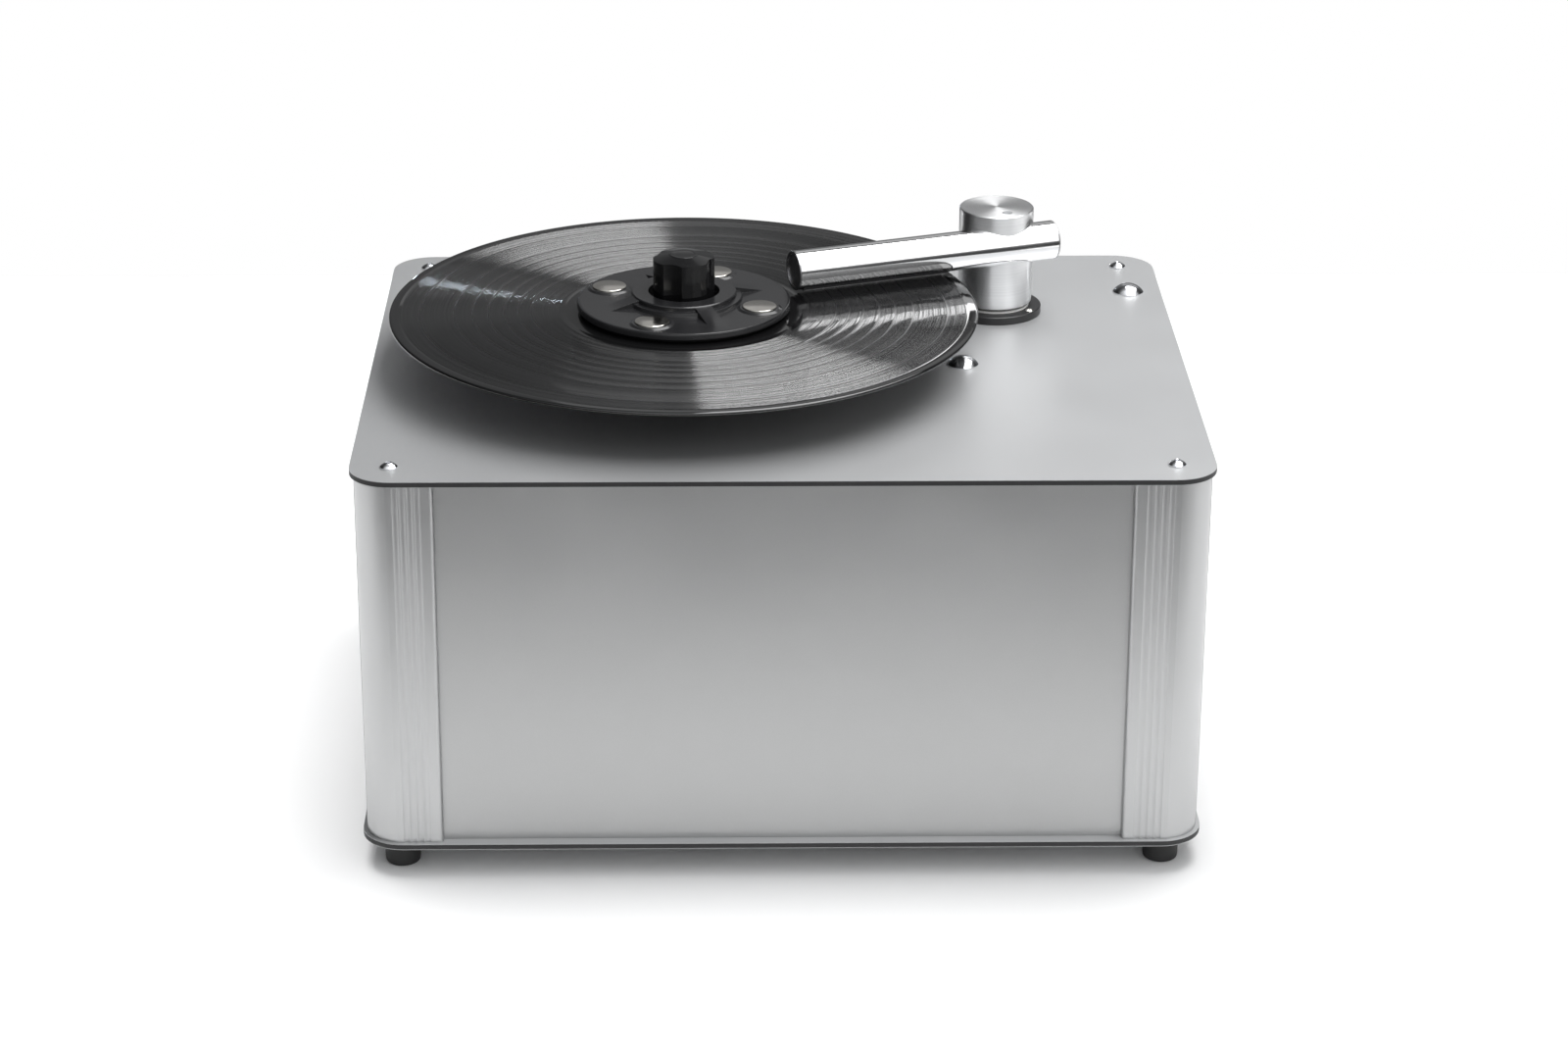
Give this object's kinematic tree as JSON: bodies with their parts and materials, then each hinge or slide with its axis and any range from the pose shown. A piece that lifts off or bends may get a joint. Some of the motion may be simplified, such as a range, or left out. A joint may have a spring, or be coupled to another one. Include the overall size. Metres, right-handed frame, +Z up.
{
  "type": "record cleaning machine",
  "caption": "Cabinet-style vacuum record cleaning machine: square metal case, clamped record on a small turntable, black clamp with knob, and a swivelling polished suction arm.",
  "frame": {"origin": "centre of the footprint, on the surface that the feet stand on", "axes": "+Z up, +X to the user's right along the longer side, +Y to the back"},
  "size_m": [0.418, 0.335, 0.269],
  "materials": {
    "anodised_sheet": "satin",
    "composite_core": "matte black core",
    "anodised_post": "satin anodised extrusion",
    "panel_sheet": "fine grained",
    "foot_rubber": "matte",
    "zinc_screw": "bright",
    "steel_screw": "plain",
    "platter_alloy": "turned",
    "mat_rubber": "matte",
    "spindle_steel": "ground",
    "bearing_alloy": "turned",
    "bronze": "sintered",
    "ptfe": "smooth",
    "gearbox_casting": "painted",
    "motor_can": "painted",
    "vinyl": "glossy grooved",
    "label_paper": "plain paper",
    "clamp_black": "satin black",
    "magnet_nickel": "nickel",
    "seal_rubber": "matte",
    "knob_black": "satin black",
    "flange_black": "satin",
    "pillar_alloy": "turned satin",
    "tube_polish": "mirror",
    "velvet": "pile",
    "spring_steel": "wire",
    "tank_poly": "translucent white",
    "blower_poly": "moulded",
    "fan_poly": "moulded",
    "motor_steel": "laminated",
    "duct_poly": "moulded",
    "switch_black": "moulded",
    "rocker_black": "moulded",
    "inlet_black": "moulded",
    "board_green": "board",
    "nylon": "moulded"
  },
  "bodies": {
    "case": {"arm_flange": "flange_black", "arm_flange_screws": "zinc_screw", "bearing_bushes": "bronze", "blower_housing": "blower_poly", "blower_motor": "motor_steel", "blower_mounts": "foot_rubber", "board_spacers": "nylon", "bottom_plate_core": "composite_core", "bottom_plate_skins": "anodised_sheet", "case_screws": "zinc_screw", "control_board": "board_green", "drain_pipe": "duct_poly", "drive_fixings": "steel_screw", "drive_motor": "motor_can", "exhaust_duct": "duct_poly", "feet": "foot_rubber", "front_panel": "panel_sheet", "gearbox_case": "gearbox_casting", "left_panel": "panel_sheet", "mains_inlet": "inlet_black", "post_front_left": "anodised_post", "post_front_right": "anodised_post", "post_rear_left": "anodised_post", "post_rear_right": "anodised_post", "rear_panel": "panel_sheet", "right_panel": "panel_sheet", "spindle_bearing": "bearing_alloy", "standpipe": "duct_poly", "switch_frames": "switch_black", "tank_bolts": "zinc_screw", "tank_lid": "tank_poly", "thrust_washer": "ptfe", "top_plate_core": "composite_core", "top_plate_skins": "anodised_sheet", "waste_tank": "tank_poly"},
    "turntable": {"spindle": "spindle_steel", "platter": "platter_alloy", "platter_mat": "mat_rubber", "output_shaft": "spindle_steel", "shaft_coupling": "bearing_alloy", "record": "vinyl", "record_labels": "label_paper"},
    "clamp": {"clamp_disc": "clamp_black", "clamp_magnets": "magnet_nickel", "clamp_seal": "seal_rubber"},
    "knob": {"clamp_knob": "knob_black", "knob_cap": "knob_black"},
    "arm_turn": {"arm_thrust_washer": "ptfe", "arm_lift_spring": "spring_steel"},
    "arm": {"arm_pillar": "pillar_alloy", "arm_set_screw": "steel_screw", "arm_slide_tube": "spindle_steel", "arm_tube": "tube_polish", "arm_end_caps": "tube_polish", "velvet_strips": "velvet"},
    "fan": {"impeller": "fan_poly"},
    "vacuum_switch": {"vacuum_rocker": "rocker_black"},
    "turntable_switch": {"turntable_rocker": "rocker_black"},
    "fuse_holder": {"fuse_drawer": "inlet_black"},
    "drain_cap": {"drain_plug": "inlet_black"}
  },
  "joints": [
    {"name": "platter_spin", "type": "hinge", "parent": "case", "child": "turntable", "pos_m": [-0.0486, 0, 0.211], "axis": [0, 0, 1], "continuous": true},
    {"name": "clamp_lift", "type": "slide", "parent": "turntable", "child": "clamp", "axis": [0, 0, 1], "range_m": [0, 0.06]},
    {"name": "clamp_knob_turn", "type": "hinge", "parent": "clamp", "child": "knob", "pos_m": [-0.0486, 0, 0.2494], "axis": [0, 0, 1], "continuous": true},
    {"name": "arm_swivel", "type": "hinge", "parent": "case", "child": "arm_turn", "pos_m": [0.1165, 0.0767, 0.211], "axis": [0, 0, 1], "range_deg": [-5, 100]},
    {"name": "arm_lift", "type": "slide", "parent": "arm_turn", "child": "arm", "axis": [0, 0, 1], "range_m": [-0.0009, 0], "stiffness_N_per_m": 1500, "springref_m": 0.0045, "deforming": ["arm_lift_spring"]},
    {"name": "fan_spin", "type": "hinge", "parent": "case", "child": "fan", "pos_m": [0.145, 0.042, 0.057], "axis": [0, 0, 1], "continuous": true},
    {"name": "vacuum_switch_tilt", "type": "hinge", "parent": "case", "child": "vacuum_switch", "pos_m": [0.19885, -0.108, 0.168], "axis": [0, 0, 1], "range_deg": [0, 16]},
    {"name": "turntable_switch_tilt", "type": "hinge", "parent": "case", "child": "turntable_switch", "pos_m": [0.19885, -0.068, 0.168], "axis": [0, 0, 1], "range_deg": [-8, 8]},
    {"name": "fuse_drawer_slide", "type": "slide", "parent": "case", "child": "fuse_holder", "axis": [0, 1, 0], "range_m": [0, 0.022]},
    {"name": "drain_plug_pull", "type": "slide", "parent": "case", "child": "drain_cap", "axis": [0, 1, 0], "range_m": [0, 0.025]}
  ]
}
